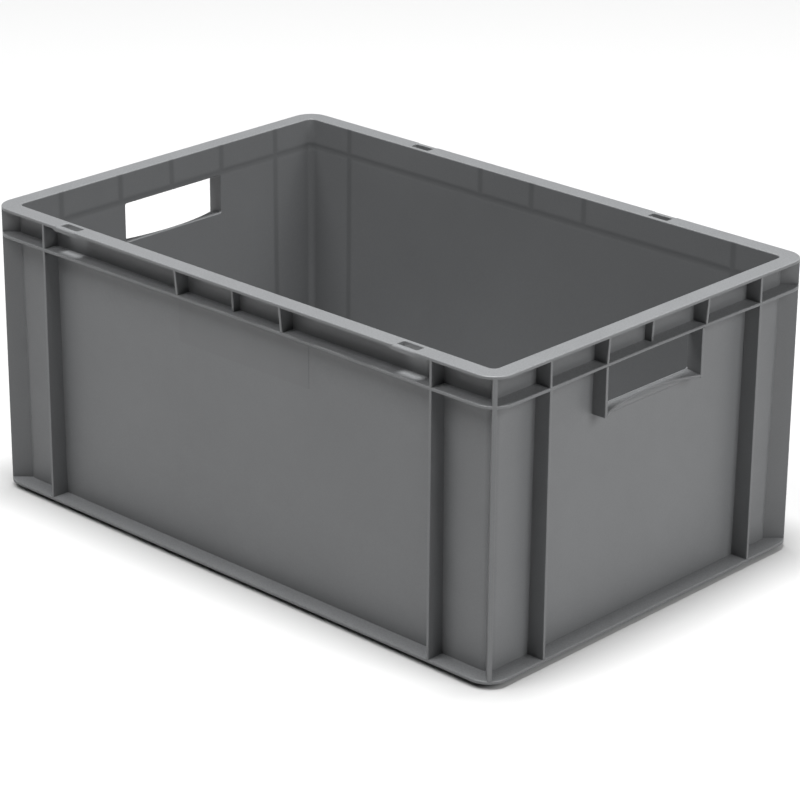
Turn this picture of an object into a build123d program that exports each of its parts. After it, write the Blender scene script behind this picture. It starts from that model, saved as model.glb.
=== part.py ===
from build123d import *
import os

# Stacking crate, 600 x 400 Euro footprint, one injection moulding in polypropylene.
# Frame: millimetres, +Z up, X along the 600 mm side, origin at the centre of the footprint on the ground.
# The moulding is written as its named sections, which meet face to face and never overlap.

# Driving dimensions
LENGTH = 600.0
WIDTH = 400.0
HEIGHT = 270.0
CORNER_RADIUS = 20.0

# Shell
WALL = 2.0
WALL_INSET = 14.8
WALL_CORNER_RADIUS = 8.0
WALL_DRAFT = 2.0
FLOOR_THICKNESS = 2.5
FLOOR_LIFT = 0.8

# Rim, stiffening ring and base flange
RIM_THICKNESS = 2.6
RIM_EDGE_RADIUS = 1.0
RING_UNDERSIDE = HEIGHT - 27.6
RING_THICKNESS = 2.8
RING_EDGE_RADIUS = 0.8
RING_BOW_LONG = 2.7
RING_BOW_SHORT = 2.0
FLANGE_UNDERSIDE = 5.0
FLANGE_THICKNESS = 2.6
FLANGE_EDGE_RADIUS = 0.8

# Stacking foot, which drops inside the rim of the crate below
FOOT_INSET = 18.4
FOOT_WEB = 2.6
FOOT_EDGE_RADIUS = 0.8

# Ribs
RIB = 2.6
RIB_EDGE_RADIUS = 0.6
NOSE_RIB = 4.0
CORNER_RIB_X = 231.5
CORNER_RIB_Y = 134.3
BAND_RIB_X = 62.6
BAND_RIB_Y = 63.4
MIDDLE_RIB_TOP_DEPTH = 8.1
MIDDLE_RIB_LOW_DEPTH = 6.9

# Hand-holds, one in each short wall
HOLD_LOW_Y = -62.1
HOLD_HIGH_Y = 58.0
HOLD_SILL_Z = 203.0
HOLD_TOP_Z = 240.4
HOLD_CORNER_RADIUS = 2.0
HOLD_LIP_RADIUS = 0.7
HOLD_CHEEK = 3.0
HOLD_CHEEK_TAPER = 1.6
CHEEK_EDGE_RADIUS = 0.6
SILL_THICKNESS = 2.6
SILL_FALL = 2.0
SILL_NECK_DEPTH = 2.3
SILL_EDGE_RADIUS = 1.2
ROLL_DEPTH = 3.8
ROLL_RISE = 5.0
ROLL_HEIGHT = 9.5
ROLL_TOP_LEAN = 0.2
ROLL_SAG = 6.0

# Lid slots through the rim, on the two long sides
SLOT_LENGTH = 22.0
SLOT_WIDTH = 8.4
SLOT_CORNER_RADIUS = 1.0
SLOT_CENTRE_INSET = 8.9
SLOT_X_FRONT = 202.0
SLOT_X_BACK = 143.5
COLLAR_LENGTH = 34.0
COLLAR_DROP = 1.8
COLLAR_RAMP = 4.5
SLOT_CHAMFER = 0.5
BAR_LENGTH = 25.0
BAR_RADIUS = 2.2

# Label field, a smooth raised pad on the front wall
LABEL_LOW_X = -74.0
LABEL_HIGH_X = 82.0
LABEL_LOW_Z = 197.0
LABEL_THICKNESS = 0.15

# Derived heights and planes
RIM_UNDERSIDE = HEIGHT - RIM_THICKNESS
RING_TOP = RING_UNDERSIDE + RING_THICKNESS
FLANGE_TOP = FLANGE_UNDERSIDE + FLANGE_THICKNESS
POST_X = CORNER_RIB_X - RIB / 2
POST_Y = CORNER_RIB_Y - RIB / 2

# Working allowances: how far cuts overrun a face, how far cuts and ribs reach in from the footprint,
# and how level an edge has to be
OVERRUN = 1.0
REACH = 30.0
LEVEL_TOLERANCE = 0.01

SIDES = ("front", "right", "back", "left")


def wall_inset_at(z):
    """How far the outer face of the wall stands in from the footprint at height z."""
    return WALL_INSET + WALL_DRAFT * (HEIGHT - z) / HEIGHT


def outline(inset=0.0, radius=CORNER_RADIUS):
    """Rounded rectangle of the footprint, drawn in by inset on every side."""
    return RectangleRounded(LENGTH - 2 * inset, WIDTH - 2 * inset, radius)


def drafted_block(extra_inset, z_low, z_high):
    """Solid block whose sides follow the drafted wall, extra_inset inside its outer face."""
    radius = WALL_CORNER_RADIUS - extra_inset
    low = Pos(0, 0, z_low) * outline(wall_inset_at(z_low) + extra_inset, radius)
    high = Pos(0, 0, z_high) * outline(wall_inset_at(z_high) + extra_inset, radius)
    return loft([low, high], ruled=True)


def slab(sketch, z_low, z_high):
    """Sketch raised from z_low to z_high."""
    return extrude(Pos(0, 0, z_low) * sketch, z_high - z_low)


def span(x_low, x_high, y_low, y_high, z_low, z_high):
    """Box between two corners."""
    centre = Pos((x_low + x_high) / 2, (y_low + y_high) / 2, (z_low + z_high) / 2)
    return centre * Box(x_high - x_low, y_high - y_low, z_high - z_low)


def prism_x(points, x_low, x_high):
    """Closed outline of (y, z) points, stretched along X."""
    face = make_face(Polyline(*[(0, y, z) for y, z in points], close=True))
    return Pos(x_low, 0, 0) * extrude(face, x_high - x_low, dir=(1, 0, 0))


def prism_y(points, y_low, y_high):
    """Closed outline of (x, z) points, stretched along Y."""
    face = make_face(Polyline(*[(x, 0, z) for x, z in points], close=True))
    return Pos(0, y_low, 0) * extrude(face, y_high - y_low, dir=(0, 1, 0))


def mitre(side):
    """Region of one side of the crate, bounded by the 45 degree mitre planes at its two corners."""
    far_x = LENGTH / 2 + REACH
    far_y = WIDTH / 2 + REACH
    ridge = (LENGTH - WIDTH) / 2
    long_side = [(-far_x, -far_y), (far_x, -far_y), (ridge, 0), (-ridge, 0)]
    short_side = [(far_x, -far_y), (far_x, far_y), (ridge, 0)]
    points = long_side if side in ("front", "back") else short_side
    region = slab(make_face(Polyline(*points, close=True)), -OVERRUN, HEIGHT + OVERRUN)
    return Rot(0, 0, 180) * region if side in ("back", "left") else region


def edges_at(shape, z):
    """Level edges of a shape at height z."""
    return shape.edges().filter_by_position(Axis.Z, z - LEVEL_TOLERANCE, z + LEVEL_TOLERANCE)


# Whole bodies that the sections are cut from
outer_block = drafted_block(0, 0, HEIGHT)
inner_block = drafted_block(WALL, 0, HEIGHT)
shell = outer_block - inner_block


def slot_centres(side):
    """Centres of the two lid slots in a long side, as (x, y)."""
    sign = -1 if side == "front" else 1
    reach = SLOT_X_FRONT if side == "front" else SLOT_X_BACK
    y = sign * (WIDTH / 2 - SLOT_CENTRE_INSET)
    return [(-reach, y), (reach, y)]


def slot_plan(x, y, widening=0.0):
    """Plan of one lid slot, widened by the same amount on every side."""
    length = SLOT_LENGTH + 2 * widening
    width = SLOT_WIDTH + 2 * widening
    return Pos(x, y) * RectangleRounded(length, width, SLOT_CORNER_RADIUS + widening)


def slot_cut(x, y):
    """Upright cut of one lid slot, chamfered at the top of the rim."""
    straight = slab(slot_plan(x, y), RIM_UNDERSIDE - COLLAR_DROP - OVERRUN, HEIGHT)
    flare_low = Pos(0, 0, HEIGHT - SLOT_CHAMFER) * slot_plan(x, y)
    flare_high = Pos(0, 0, HEIGHT + OVERRUN) * slot_plan(x, y, SLOT_CHAMFER + OVERRUN)
    return straight + loft([flare_low, flare_high], ruled=True)


def bar_rounding(x, y):
    """Cut that rounds the outer top edge of the bar between a lid slot and the footprint."""
    sign = 1 if y > 0 else -1
    axis_y = sign * (WIDTH / 2 - BAR_RADIUS)
    axis_z = HEIGHT - BAR_RADIUS
    outer_y = sign * (WIDTH / 2 + OVERRUN)
    x_low = x - BAR_LENGTH / 2
    x_high = x + BAR_LENGTH / 2
    corner = span(x_low, x_high, min(axis_y, outer_y), max(axis_y, outer_y), axis_z, HEIGHT + OVERRUN)
    bar = Pos(x, axis_y, axis_z) * Rot(0, 90, 0) * Cylinder(BAR_RADIUS, BAR_LENGTH + 2 * OVERRUN)
    return corner - bar


def whole_rim():
    """Flat rim with rounded top edges, all the way round, with its lid slots."""
    rim = slab(outline(), RIM_UNDERSIDE, HEIGHT) - inner_block
    rim = fillet(edges_at(rim, HEIGHT), RIM_EDGE_RADIUS)
    for side in ("front", "back"):
        for x, y in slot_centres(side):
            rim -= slot_cut(x, y)
            rim -= bar_rounding(x, y)
    return rim


def ring_outline():
    """Outline of the stiffening ring: the footprint, with each side bowed in between its corner ribs."""
    half_x = LENGTH / 2
    half_y = WIDTH / 2
    sketch = outline()
    for sign in (-1, 1):
        chord = Line((-CORNER_RIB_X, sign * half_y), (CORNER_RIB_X, sign * half_y))
        bow = ThreePointArc(chord @ 1, (0, sign * (half_y - RING_BOW_LONG)), chord @ 0)
        sketch -= make_face(chord + bow)
        chord = Line((sign * half_x, -CORNER_RIB_Y), (sign * half_x, CORNER_RIB_Y))
        bow = ThreePointArc(chord @ 1, (sign * (half_x - RING_BOW_SHORT), 0), chord @ 0)
        sketch -= make_face(chord + bow)
    return sketch


def whole_ring():
    """Stiffening ring below the rim, all the way round."""
    ring = slab(ring_outline(), RING_UNDERSIDE, RING_TOP)
    ring = fillet(edges_at(ring, RING_UNDERSIDE) + edges_at(ring, RING_TOP), RING_EDGE_RADIUS)
    return ring - outer_block


def whole_flange():
    """Base flange, all the way round."""
    flange = slab(outline(), FLANGE_UNDERSIDE, FLANGE_TOP)
    flange = fillet(edges_at(flange, FLANGE_TOP), FLANGE_EDGE_RADIUS)
    return flange - outer_block


def hold_opening():
    """Straight cut of the hand-hold through the +X wall."""
    opening = span(LENGTH / 2 - REACH, LENGTH / 2, HOLD_LOW_Y, HOLD_HIGH_Y, HOLD_SILL_Z, HOLD_TOP_Z)
    corners = opening.edges().filter_by(Axis.X)
    return fillet(corners, HOLD_CORNER_RADIUS)


def walls():
    """The four wall panels between the corner posts, with rounded inner edges round the hand-holds."""
    made = {}
    long_region = span(-POST_X, POST_X, -WIDTH, 0, FLANGE_UNDERSIDE, RIM_UNDERSIDE)
    short_region = span(0, LENGTH, -POST_Y, POST_Y, FLANGE_UNDERSIDE, RIM_UNDERSIDE)
    made["wall_front"] = shell & long_region
    made["wall_back"] = Rot(0, 0, 180) * made["wall_front"]
    right = (shell & short_region) - hold_opening()
    inner_face = right.faces().sort_by(Axis.X)[0]
    right = fillet(inner_face.inner_wires()[0].edges(), HOLD_LIP_RADIUS)
    made["wall_right"] = right
    made["wall_left"] = Rot(0, 0, 180) * made["wall_right"]
    return made


def rib_plan(centre, angle, thickness):
    """Plan of a rib that runs outward from centre to the footprint, with its outer corners rounded."""
    strip = Pos(*centre) * Rot(0, 0, angle) * Pos(REACH / 2, 0, 0) * Rectangle(REACH, thickness)
    strip = (strip & outline()).face()
    outer_corners = strip.vertices().sort_by_distance((0, 0, 0))[-2:]
    return strip.fillet_2d(RIB_EDGE_RADIUS, outer_corners)


def corner_post(ring):
    """Front right corner: the rounded wall corner, a rib on each side of it and the diagonal nose rib."""
    half_x = LENGTH / 2
    half_y = WIDTH / 2
    post = shell & span(POST_X, half_x, -half_y, -POST_Y, FLANGE_UNDERSIDE, RIM_UNDERSIDE)
    plans = [
        rib_plan((CORNER_RIB_X, -half_y + REACH), -90, RIB),
        rib_plan((half_x - REACH, -CORNER_RIB_Y), 0, RIB),
        rib_plan((half_x - CORNER_RADIUS, -half_y + CORNER_RADIUS), -45, NOSE_RIB),
    ]
    for plan in plans:
        post += slab(plan, FLANGE_TOP, RIM_UNDERSIDE) - outer_block - ring
    return post


def corner_posts(ring):
    """The four corner posts, mirrored from the front right one."""
    post = corner_post(ring)
    left = mirror(post, Plane.YZ)
    return {
        "corner_post_front_right": post,
        "corner_post_front_left": left,
        "corner_post_back_right": mirror(post, Plane.XZ),
        "corner_post_back_left": mirror(left, Plane.XZ),
    }


def band_rib(reach, top_depth, low_depth):
    """Short rib between ring and rim on the front side, with its outer edges rounded."""
    wall_y = -(WIDTH / 2 - WALL_INSET) + WALL
    top_y = -(WIDTH / 2 - WALL_INSET) - top_depth
    low_y = -(WIDTH / 2 - WALL_INSET) - low_depth
    points = [(wall_y, RING_TOP), (low_y, RING_TOP), (top_y, RIM_UNDERSIDE), (wall_y, RIM_UNDERSIDE)]
    rib = prism_x(points, reach - RIB / 2, reach + RIB / 2)
    outer_face = rib.faces().sort_by(Axis.Y)[0]
    return fillet(outer_face.edges().filter_by(Axis.X, reverse=True), RIB_EDGE_RADIUS)


def bow_at(reach, half_span, bow):
    """How far the ring stands in from the footprint at a distance reach from the middle of a side."""
    return bow * (1 - (reach / half_span) ** 2)


def band_ribs():
    """Three short ribs between ring and rim on every side."""
    made = {}
    places = {
        "front": (BAND_RIB_X, CORNER_RIB_X, RING_BOW_LONG, Pos(0, 0, 0)),
        "back": (BAND_RIB_X, CORNER_RIB_X, RING_BOW_LONG, Rot(0, 0, 180)),
        "right": (BAND_RIB_Y, CORNER_RIB_Y, RING_BOW_SHORT, Pos((LENGTH - WIDTH) / 2, 0, 0) * Rot(0, 0, 90)),
        "left": (BAND_RIB_Y, CORNER_RIB_Y, RING_BOW_SHORT, Pos((WIDTH - LENGTH) / 2, 0, 0) * Rot(0, 0, -90)),
    }
    for side, (reach, half_span, bow, place) in places.items():
        low_depth = WALL_INSET - bow_at(reach, half_span, bow)
        ribs = [
            band_rib(-reach, WALL_INSET, low_depth),
            band_rib(0, MIDDLE_RIB_TOP_DEPTH, MIDDLE_RIB_LOW_DEPTH),
            band_rib(reach, WALL_INSET, low_depth),
        ]
        made[f"band_ribs_{side}"] = Compound(children=[place * rib - outer_block for rib in ribs])
    return made


def sill_plate():
    """Hand-hold sill: a plate that falls outward, its outer edge swept back between the cheeks."""
    wall_x = LENGTH / 2 - WALL_INSET - WALL
    front_x = LENGTH / 2 - HOLD_CHEEK_TAPER
    neck_x = LENGTH / 2 - WALL_INSET + SILL_NECK_DEPTH
    low_corner = (front_x, HOLD_LOW_Y)
    high_corner = (front_x, HOLD_HIGH_Y)
    sweep = ThreePointArc(low_corner, (neck_x, (HOLD_LOW_Y + HOLD_HIGH_Y) / 2), high_corner)
    back = Polyline(high_corner, (wall_x, HOLD_HIGH_Y), (wall_x, HOLD_LOW_Y), low_corner)
    plan = slab(make_face(sweep + back), 0, HEIGHT)
    top_z = HOLD_SILL_Z
    end_z = HOLD_SILL_Z - SILL_FALL
    points = [
        (wall_x, top_z),
        (front_x, end_z),
        (front_x, end_z - SILL_THICKNESS),
        (wall_x, top_z - SILL_THICKNESS),
    ]
    plate = prism_y(points, HOLD_LOW_Y, HOLD_HIGH_Y) & plan
    outer_edges = plate.edges().filter_by(GeomType.LINE, reverse=True)
    return fillet(outer_edges, SILL_EDGE_RADIUS)


def hold_cheek(y_low, y_high):
    """Side cheek of a hand-hold, from the ring down to the sill."""
    wall_x = LENGTH / 2 - WALL_INSET - WALL
    low_x = LENGTH / 2 - HOLD_CHEEK_TAPER
    low_z = HOLD_SILL_Z - SILL_FALL - SILL_THICKNESS
    ring_x = LENGTH / 2 - bow_at((y_low + y_high) / 2, CORNER_RIB_Y, RING_BOW_SHORT)
    points = [(wall_x, low_z), (low_x, low_z), (ring_x, RING_UNDERSIDE), (wall_x, RING_UNDERSIDE)]
    cheek = prism_y(points, y_low, y_high)
    outer_face = cheek.faces().sort_by(Axis.X)[-1]
    return fillet(outer_face.edges().filter_by(Axis.Y, reverse=True), CHEEK_EDGE_RADIUS)


def grip_roll():
    """Rounded bead along the outside of the sill, its underside rising to the foot of each cheek."""
    wall_x = LENGTH / 2 - wall_inset_at(HOLD_SILL_Z)
    top = (wall_x - WALL, 0, HOLD_SILL_Z)
    crest = (wall_x + ROLL_DEPTH, 0, HOLD_SILL_Z - ROLL_RISE)
    foot = (wall_x - WALL, 0, HOLD_SILL_Z - ROLL_HEIGHT)
    upper = Spline(top, crest, tangents=[(1, 0, -ROLL_TOP_LEAN), (0, 0, -1)])
    lower = Spline(crest, foot, tangents=[(0, 0, -1), (-1, 0, 0)])
    face = make_face(upper + lower + Line(foot, top))
    bead = Pos(0, HOLD_LOW_Y, 0) * extrude(face, HOLD_HIGH_Y - HOLD_LOW_Y, dir=(0, 1, 0))

    cheek_z = HOLD_SILL_Z - SILL_FALL - SILL_THICKNESS
    low_end = (0, HOLD_LOW_Y, cheek_z)
    high_end = (0, HOLD_HIGH_Y, cheek_z)
    lowest = (0, (HOLD_LOW_Y + HOLD_HIGH_Y) / 2, cheek_z - ROLL_SAG)
    belly = ThreePointArc(low_end, lowest, high_end)
    ends = Polyline(high_end, (0, HOLD_HIGH_Y, HOLD_SILL_Z), (0, HOLD_LOW_Y, HOLD_SILL_Z), low_end)
    return bead & extrude(make_face(belly + ends), LENGTH, dir=(1, 0, 0))


def hand_holds():
    """Cheeks, sill and grip roll of each hand-hold, outside the wall."""
    low_cheek = hold_cheek(HOLD_LOW_Y - HOLD_CHEEK, HOLD_LOW_Y)
    high_cheek = hold_cheek(HOLD_HIGH_Y, HOLD_HIGH_Y + HOLD_CHEEK)
    frame = low_cheek + high_cheek + sill_plate() + grip_roll()
    frame -= outer_block
    return {
        "hand_hold_right": frame,
        "hand_hold_left": Rot(0, 0, 180) * frame,
    }


def slot_collar(x, y):
    """Thickened collar under the rim around one lid slot, ramped at both ends."""
    sign = 1 if y > 0 else -1
    wall_y = sign * (WIDTH / 2 - WALL_INSET - WALL)
    edge_y = sign * WIDTH / 2
    low_z = RIM_UNDERSIDE - COLLAR_DROP
    half = COLLAR_LENGTH / 2
    flat = half - COLLAR_RAMP
    points = [(x - half, RIM_UNDERSIDE), (x - flat, low_z), (x + flat, low_z), (x + half, RIM_UNDERSIDE)]
    collar = prism_y(points, min(wall_y, edge_y), max(wall_y, edge_y))
    return collar - slot_cut(x, y) - outer_block


def slot_collars():
    """The four slot collars."""
    made = {}
    for side in ("front", "back"):
        for name, (x, y) in zip(("left", "right"), slot_centres(side)):
            made[f"lid_slot_collar_{side}_{name}"] = slot_collar(x, y)
    return made


def label_panel():
    """Smooth label field, a thin pad standing on the front wall just below the ring."""
    pad = span(LABEL_LOW_X, LABEL_HIGH_X, -WIDTH / 2, 0, LABEL_LOW_Z, RING_UNDERSIDE)
    lean = Pos(0, -LABEL_THICKNESS, 0) * outer_block
    return (lean & pad) - outer_block


def whole_foot():
    """Stepped web between walls and floor, which drops inside the rim of the crate below."""
    radius = WALL_CORNER_RADIUS - WALL
    foot = slab(outline(FOOT_INSET, radius), 0, FLANGE_TOP)
    foot = fillet(edges_at(foot, 0), FOOT_EDGE_RADIUS)
    foot -= slab(outline(FOOT_INSET + FOOT_WEB, radius - FOOT_WEB), -OVERRUN, HEIGHT)
    return foot - (shell & slab(outline(), FLANGE_UNDERSIDE, HEIGHT))


def floor_panel():
    """Flat floor inside the stacking foot."""
    radius = WALL_CORNER_RADIUS - WALL - FOOT_WEB
    return slab(outline(FOOT_INSET + FOOT_WEB, radius), FLOOR_LIFT, FLOOR_LIFT + FLOOR_THICKNESS)


def build():
    """Every section of the moulding, by name."""
    parts = {}
    ring = whole_ring()
    loops = {
        "rim": whole_rim(),
        "stiffening_ring": ring,
        "base_flange": whole_flange(),
        "stacking_foot": whole_foot(),
    }
    for label, loop in loops.items():
        for side in SIDES:
            parts[f"{label}_{side}"] = loop & mitre(side)
    parts.update(walls())
    parts.update(corner_posts(ring))
    parts.update(band_ribs())
    parts.update(hand_holds())
    parts.update(slot_collars())
    parts["label_panel"] = label_panel()
    parts["floor_panel"] = floor_panel()
    return parts


os.makedirs("parts", exist_ok=True)
for name, shape in build().items():
    export_step(shape, f"parts/{name}.step")
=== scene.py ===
import math

import bpy
from mathutils import Matrix, Vector

# Stacking crate: looks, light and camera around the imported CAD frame. Metres, +Z up.
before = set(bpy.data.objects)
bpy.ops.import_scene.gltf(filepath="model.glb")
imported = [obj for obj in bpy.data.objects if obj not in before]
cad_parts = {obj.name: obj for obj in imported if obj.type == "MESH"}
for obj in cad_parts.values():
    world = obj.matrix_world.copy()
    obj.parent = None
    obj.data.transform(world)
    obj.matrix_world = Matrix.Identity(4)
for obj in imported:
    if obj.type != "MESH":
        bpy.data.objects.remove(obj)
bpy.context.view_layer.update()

# Camera: the point it looks at, its angles in degrees, its distance, and its lens in mm
AIM = Vector((0.0115, -0.001, 0.1138))
AZIMUTH = 43.33
ELEVATION = 22.18
ROLL = 0.446
DISTANCE = 2.7616
LENS = 140.4

# Plastic: its colour, the shares of it that the tone runs between, and the tone of the mottling
GREY = (0.117, 0.12, 0.123)
DARKEST = 0.8
LIGHTEST = 1.08
MOTTLE_TONES = (0.6, 0.84)
LABEL_SHADE = 0.22
REFRACTION = 1.49
WALL_ROUGHNESS = 0.46
LABEL_ROUGHNESS = 0.44
ROUGHNESS_SPREAD = 0.03

# Grain of the walls, the label field and the faces that look up
WALL_GRAIN = 0.12
LABEL_GRAIN = 0.03
TOP_GRAIN = 0.55
BUMP_STRENGTH = 0.6
BUMP_HEIGHT = 0.0002

# Z of a face's normal, up to which it counts as a wall and from which it looks up
WALL_NORMAL_Z = 0.6
TOP_NORMAL_Z = 0.9

# Noise patterns: features per metre, detail and roughness, and the values they mostly keep between
MOTTLE = (9.0, 5.0, 0.6)
GLOSS = (60.0, 3.0, 0.5)
SPECKLE = (700.0, 2.0, 0.5)
FINE_GRAIN = (800.0, 3.0, 0.5)
NOISE_RANGE = (0.3, 0.7)

# Sink lines on the inner faces, opposite the ribs and the ring: shallow grooves in the relief, and
# painted shade in the colour where the ribs and the ring block the light through the wall
LONG_WALL_LINES = (0.2315,)
LONG_BAND_LINES = (0.0, 0.0626)
SHORT_WALL_LINES = (0.1343,)
SHORT_BAND_LINES = (0.0, 0.0634)
RING_LINE = 0.243
RING_BLEND = 0.001
SINK_AND_SHADE_HALF_WIDTH = 0.0048
LONG_WALL_REACH = 0.12
SHORT_WALL_REACH = 0.2

# Floor, and the white surroundings as they light the crate and as they are seen behind it
FLOOR_SIZE = 9.0
FLOOR_SHADE = 0.38
FLOOR_ROUGHNESS = 0.9
WORLD_STRENGTH = 0.03
BACKDROP_STRENGTH = 0.6

# Soft boxes: where each one is, the height on the middle axis that it faces, its side, and watts
SOFTBOXES = {
    "overhead": ((0, 0, 5.2), 0.2, 1.4, 520),
    "right": ((3.85, 0.5, 2.4), 0.15, 2.2, 156),
    "front": ((-0.5, -2.35, 3.95), 0.15, 1.95, 166),
    "left": ((-3.9, 0, 2.4), 0.15, 2.2, 36),
    "back": ((0, 3.9, 2.4), 0.15, 2.2, 50),
}


def node(tree, kind, **inputs):
    """New shader node with some of its inputs set by name."""
    made = tree.nodes.new(kind)
    for name, value in inputs.items():
        made.inputs[name].default_value = value
    return made


def calc(tree, operation, *values):
    """Math node over numbers and sockets."""
    made = tree.nodes.new("ShaderNodeMath")
    made.operation = operation
    for socket, value in zip(made.inputs, values):
        if isinstance(value, (int, float)):
            socket.default_value = value
        else:
            tree.links.new(value, socket)
    return made.outputs[0]


def noise(tree, coords, scale, detail, roughness):
    """Noise texture over the object's own frame."""
    made = node(tree, "ShaderNodeTexNoise", Scale=scale, Detail=detail, Roughness=roughness)
    tree.links.new(coords, made.inputs["Vector"])
    return made.outputs["Fac"]


def remap(tree, value, low, high, to_low, to_high, smooth=False):
    """Value rescaled from one range to another, clamped."""
    made = tree.nodes.new("ShaderNodeMapRange")
    if smooth:
        made.interpolation_type = "SMOOTHSTEP"
    made.inputs["From Min"].default_value = low
    made.inputs["From Max"].default_value = high
    made.inputs["To Min"].default_value = to_low
    made.inputs["To Max"].default_value = to_high
    tree.links.new(value, made.inputs["Value"])
    return made.outputs["Result"]


def line(tree, coordinate, centre):
    """1 along a line at centre on either side of zero, falling smoothly to 0."""
    mirrored = calc(tree, "ABSOLUTE", coordinate)
    distance = calc(tree, "ABSOLUTE", calc(tree, "SUBTRACT", mirrored, centre))
    return remap(tree, distance, 0.0, SINK_AND_SHADE_HALF_WIDTH, 1.0, 0.0, smooth=True)


def strongest(tree, values):
    """Largest of several values."""
    found = values[0]
    for value in values[1:]:
        found = calc(tree, "MAXIMUM", found, value)
    return found


def sink_grooves_and_rib_shade(tree, texture_coords):
    """Mask of the faint lines that the ribs and the ring leave on the inner faces of the walls:
    shallow sink grooves, and painted shade where they block the light through the wall.

    A point is on an inner face where its position and its normal point opposite ways.
    """
    place = tree.nodes.new("ShaderNodeSeparateXYZ")
    facing = tree.nodes.new("ShaderNodeSeparateXYZ")
    tree.links.new(texture_coords.outputs["Object"], place.inputs[0])
    tree.links.new(texture_coords.outputs["Normal"], facing.inputs[0])
    x, y, z = place.outputs
    inward_x = calc(tree, "MULTIPLY", calc(tree, "MULTIPLY", x, facing.outputs[0]), -1.0)
    inward_y = calc(tree, "MULTIPLY", calc(tree, "MULTIPLY", y, facing.outputs[1]), -1.0)
    on_long = calc(tree, "GREATER_THAN", inward_y, LONG_WALL_REACH)
    on_short = calc(tree, "GREATER_THAN", inward_x, SHORT_WALL_REACH)
    in_band = remap(tree, z, RING_LINE - RING_BLEND, RING_LINE + RING_BLEND, 0.0, 1.0)

    masks = []
    sides = [
        (on_long, x, LONG_WALL_LINES, LONG_BAND_LINES),
        (on_short, y, SHORT_WALL_LINES, SHORT_BAND_LINES),
    ]
    for on_side, along, wall_lines, band_lines in sides:
        full = strongest(tree, [line(tree, along, centre) for centre in wall_lines])
        short = strongest(tree, [line(tree, along, centre) for centre in band_lines])
        short = calc(tree, "MULTIPLY", short, in_band)
        lines = strongest(tree, [full, short, line(tree, z, RING_LINE)])
        masks.append(calc(tree, "MULTIPLY", on_side, lines))
    return strongest(tree, masks)


def coarser_on_top(tree, texture_coords, grain):
    """Grain strength, several times coarser on faces that look up than on the walls."""
    facing = tree.nodes.new("ShaderNodeSeparateXYZ")
    tree.links.new(texture_coords.outputs["Normal"], facing.inputs[0])
    return remap(tree, facing.outputs[2], WALL_NORMAL_Z, TOP_NORMAL_Z, grain, TOP_GRAIN)


def moulded_plastic(name, colour, grain, roughness, shade=0.0):
    """Satin moulded polypropylene: faint mottling, fine grain, uneven gloss, and sink lines that
    are shallow grooves in the relief with painted shade in the colour.
    """
    material = bpy.data.materials.new(name)
    material.use_nodes = True
    tree = material.node_tree
    shader = tree.nodes["Principled BSDF"]
    shader.inputs["IOR"].default_value = REFRACTION
    texture_coords = tree.nodes.new("ShaderNodeTexCoord")
    coords = texture_coords.outputs["Object"]
    sink_and_rib_shade = sink_grooves_and_rib_shade(tree, texture_coords)
    grain = coarser_on_top(tree, texture_coords, grain)

    tones = [value - shade for value in MOTTLE_TONES]
    tone = remap(tree, noise(tree, coords, *MOTTLE), *NOISE_RANGE, *tones)
    speckle = remap(tree, noise(tree, coords, *SPECKLE), *NOISE_RANGE, -1.0, 1.0)
    tone = calc(tree, "ADD", tone, calc(tree, "MULTIPLY", speckle, grain))
    # Painted shade: the colour darkens along the sink lines, where the ribs and the ring block the
    # light through the wall
    tone = calc(tree, "SUBTRACT", tone, sink_and_rib_shade)
    mix = tree.nodes.new("ShaderNodeMix")
    mix.data_type = "RGBA"
    mix.inputs["A"].default_value = [c * DARKEST for c in colour] + [1]
    mix.inputs["B"].default_value = [c * LIGHTEST for c in colour] + [1]
    tree.links.new(tone, mix.inputs["Factor"])
    tree.links.new(mix.outputs["Result"], shader.inputs["Base Color"])

    smoothest = roughness - ROUGHNESS_SPREAD
    roughest = roughness + ROUGHNESS_SPREAD
    gloss = remap(tree, noise(tree, coords, *GLOSS), *NOISE_RANGE, smoothest, roughest)
    tree.links.new(gloss, shader.inputs["Roughness"])

    fine = noise(tree, coords, *FINE_GRAIN)
    relief = calc(tree, "SUBTRACT", calc(tree, "MULTIPLY", fine, grain), sink_and_rib_shade)
    bump = node(tree, "ShaderNodeBump", Strength=BUMP_STRENGTH, Distance=BUMP_HEIGHT)
    tree.links.new(relief, bump.inputs["Height"])
    tree.links.new(bump.outputs["Normal"], shader.inputs["Normal"])
    return material


def pale_floor():
    """Plain pale floor, which isn't part of the object."""
    bpy.ops.mesh.primitive_plane_add(size=FLOOR_SIZE)
    floor = bpy.context.object
    floor.name = "studio_floor"
    material = bpy.data.materials.new("studio_floor")
    material.use_nodes = True
    shader = material.node_tree.nodes["Principled BSDF"]
    shader.inputs["Base Color"].default_value = (FLOOR_SHADE, FLOOR_SHADE, FLOOR_SHADE, 1)
    shader.inputs["Roughness"].default_value = FLOOR_ROUGHNESS
    floor.data.materials.append(material)


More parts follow.
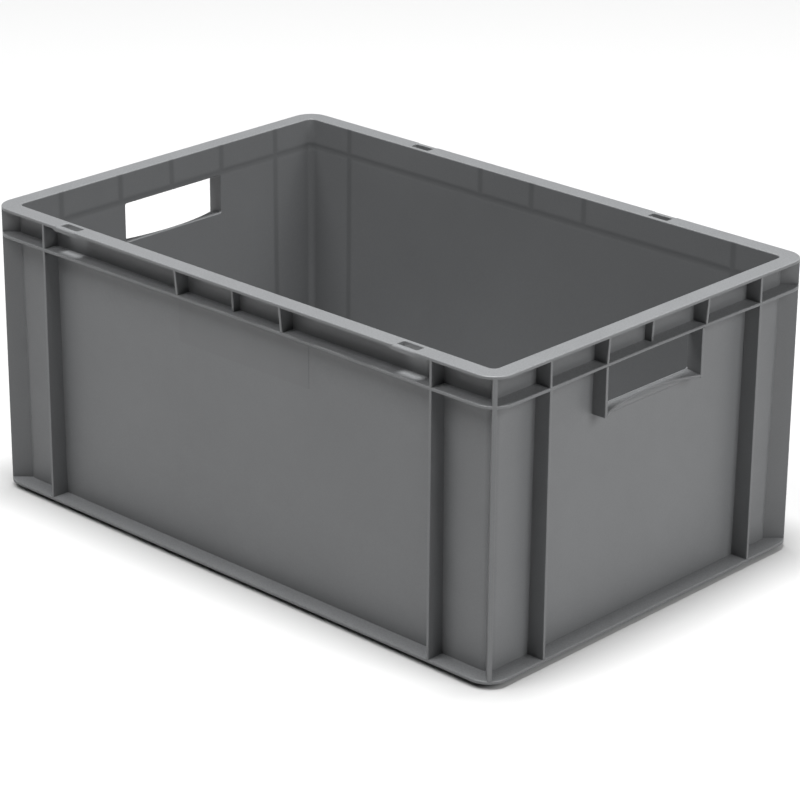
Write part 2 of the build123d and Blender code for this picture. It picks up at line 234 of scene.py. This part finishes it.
def softbox(name, place, aim_height, size, power):
    """Square area light at place, facing the crate's middle axis at aim_height."""
    light = bpy.data.lights.new(name, "AREA")
    light.shape = "SQUARE"
    light.size = size
    light.energy = power
    made = bpy.data.objects.new(name, light)
    bpy.context.scene.collection.objects.link(made)
    made.location = place
    aim = Vector((0, 0, aim_height)) - Vector(place)
    made.rotation_euler = aim.to_track_quat("-Z", "Y").to_euler()


def studio():
    """Soft boxes around the crate, in surroundings that light it only dimly."""
    world = bpy.data.worlds.new("studio")
    world.use_nodes = True
    tree = world.node_tree
    background = tree.nodes["Background"]
    background.inputs["Color"].default_value = (1, 1, 1, 1)
    seen = tree.nodes.new("ShaderNodeLightPath").outputs["Is Camera Ray"]
    strength = remap(tree, seen, 0.0, 1.0, WORLD_STRENGTH, BACKDROP_STRENGTH)
    tree.links.new(strength, background.inputs["Strength"])
    bpy.context.scene.world = world
    for name, (place, aim_height, size, power) in SOFTBOXES.items():
        softbox(name, place, aim_height, size, power)
    bpy.context.scene.view_settings.view_transform = "Standard"


def camera():
    """Camera on the aim point, by azimuth and elevation."""
    azimuth = math.radians(AZIMUTH)
    elevation = math.radians(ELEVATION)
    back = Vector((
        math.sin(azimuth) * math.cos(elevation),
        -math.cos(azimuth) * math.cos(elevation),
        math.sin(elevation),
    ))
    data = bpy.data.cameras.new("camera")
    data.lens = LENS
    made = bpy.data.objects.new("camera", data)
    bpy.context.scene.collection.objects.link(made)
    turn = (-back).to_track_quat("-Z", "Y").to_matrix().to_4x4()
    roll = Matrix.Rotation(math.radians(ROLL), 4, "Z")
    made.matrix_world = Matrix.Translation(AIM + back * DISTANCE) @ turn @ roll
    bpy.context.scene.camera = made


moulding = moulded_plastic("moulding", GREY, WALL_GRAIN, WALL_ROUGHNESS)
label_field = moulded_plastic("label_field", GREY, LABEL_GRAIN, LABEL_ROUGHNESS, LABEL_SHADE)
for name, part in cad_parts.items():
    part.data.materials.clear()
    part.data.materials.append(label_field if name == "label_panel" else moulding)
pale_floor()
studio()
camera()
